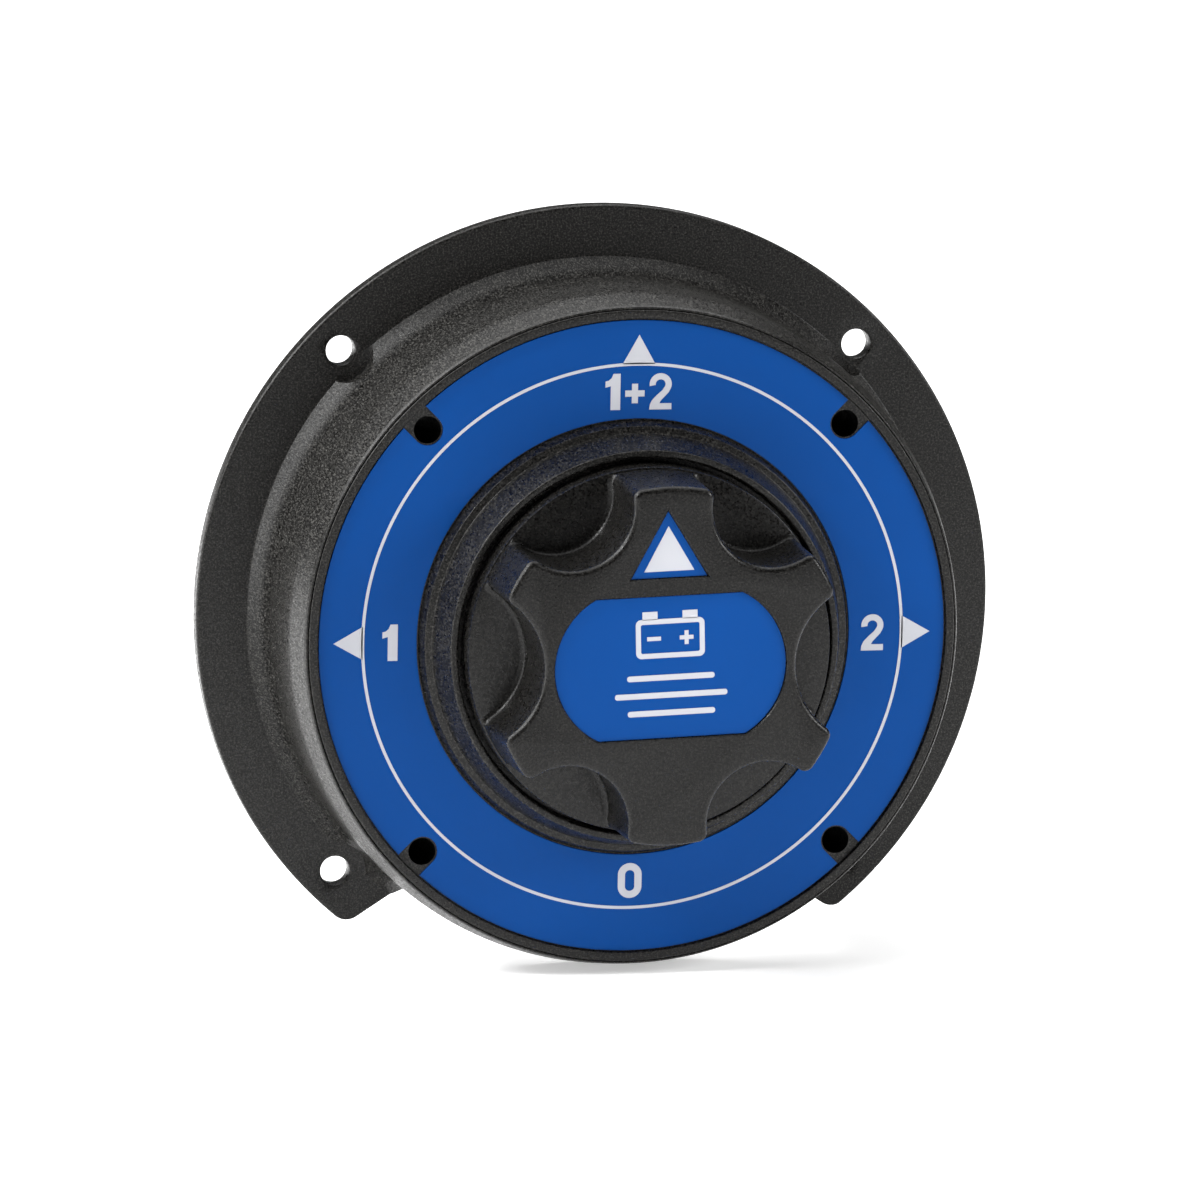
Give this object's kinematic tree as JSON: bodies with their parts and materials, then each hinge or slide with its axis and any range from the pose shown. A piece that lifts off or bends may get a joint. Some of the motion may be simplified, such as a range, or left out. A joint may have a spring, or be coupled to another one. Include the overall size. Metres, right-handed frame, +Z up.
{
  "type": "battery selector switch",
  "caption": "Round surface-mounted rotary battery selector switch with a lobed black knob, a blue ring dial, a cable outlet in its lower side and threaded studs behind.",
  "frame": {"origin": "centre of the flange's bolt circle, on the flange's back face", "axes": "+Y points back along the knob's axis into the wall, the dial faces -Y, +Z points up to the dial's top mark, +X points to position 2"},
  "size_m": [0.132, 0.0585, 0.1207],
  "materials": {
    "black_plastic": "satin, fine moulded grain",
    "cover_plastic": "satin",
    "label_blue": "glossy printed film, white marks",
    "rubber": "matte",
    "steel": "plain stainless",
    "copper": "bare copper",
    "nylon": "smooth"
  },
  "bodies": {
    "root": {"mounting_housing": "black_plastic", "face_body": "black_plastic", "dial_label": "label_blue", "terminal_plate": "cover_plastic", "cover_gasket": "rubber", "cover_screws": "steel", "housing_screws": "steel", "contact_battery_1": "copper", "contact_battery_2": "copper", "contact_common": "copper", "stud_battery_1": "steel", "stud_battery_2": "steel", "stud_common": "steel", "terminal_nuts": "steel", "terminal_lock_washers": "steel", "terminal_flat_washers": "steel", "shaft_bush": "nylon", "shaft_seal": "rubber", "detent_spring_left": "steel", "detent_spring_right": "steel"},
    "knob": {"knob": "black_plastic", "knob_label": "label_blue", "pointer_label": "label_blue", "knob_screw": "steel", "knob_screw_washer": "steel", "drive_shaft": "steel", "rotor": "nylon", "retaining_ring": "steel", "contact_springs": "steel"},
    "contact_bridge": {"contact_bridge": "copper"},
    "detent_plunger_left": {"detent_plunger_left": "steel"},
    "detent_plunger_right": {"detent_plunger_right": "steel"}
  },
  "joints": [
    {"name": "knob_turn", "type": "hinge", "parent": "root", "child": "knob", "pos_m": [0, 0, 0], "axis": [0, -1, 0], "continuous": true},
    {"name": "bridge_float", "type": "slide", "parent": "knob", "child": "contact_bridge", "axis": [0, -1, 0], "range_m": [0, 0.0005], "stiffness_N_per_m": 5000, "springref_m": -0.002, "deforming": ["contact_springs"]},
    {"name": "detent_left_slide", "type": "slide", "parent": "root", "child": "detent_plunger_left", "axis": [1, 0, 0], "range_m": [0, 0.0015], "stiffness_N_per_m": 2000, "springref_m": 0.003, "deforming": ["detent_spring_left"]},
    {"name": "detent_right_slide", "type": "slide", "parent": "root", "child": "detent_plunger_right", "axis": [-1, 0, 0], "range_m": [0, 0.0015], "stiffness_N_per_m": 2000, "springref_m": 0.003, "deforming": ["detent_spring_right"]}
  ]
}
